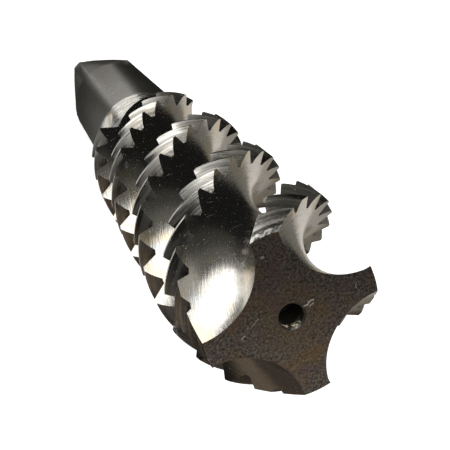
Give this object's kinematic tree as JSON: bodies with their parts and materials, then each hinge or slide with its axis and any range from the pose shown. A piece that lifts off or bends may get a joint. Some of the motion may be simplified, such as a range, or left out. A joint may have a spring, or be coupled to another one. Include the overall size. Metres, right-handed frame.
{
  "type": "spiral flute tap",
  "caption": "Spiral flute machine tap of ground steel: tapered lead, threaded and fluted part, plain shank and drive square.",
  "frame": {"origin": "centre of the drive end's face, which is the bottom of the tap as it stands", "axes": "+Z along the axis from the drive end to the cutting end; +X and +Y across it, parallel to the flats of the square"},
  "size_m": [0.024, 0.024, 0.13],
  "materials": {
    "ground_steel": "ground, bright in the flutes, stained on the front face"
  },
  "bodies": {
    "root": {"tap": "ground_steel"}
  },
  "joints": []
}
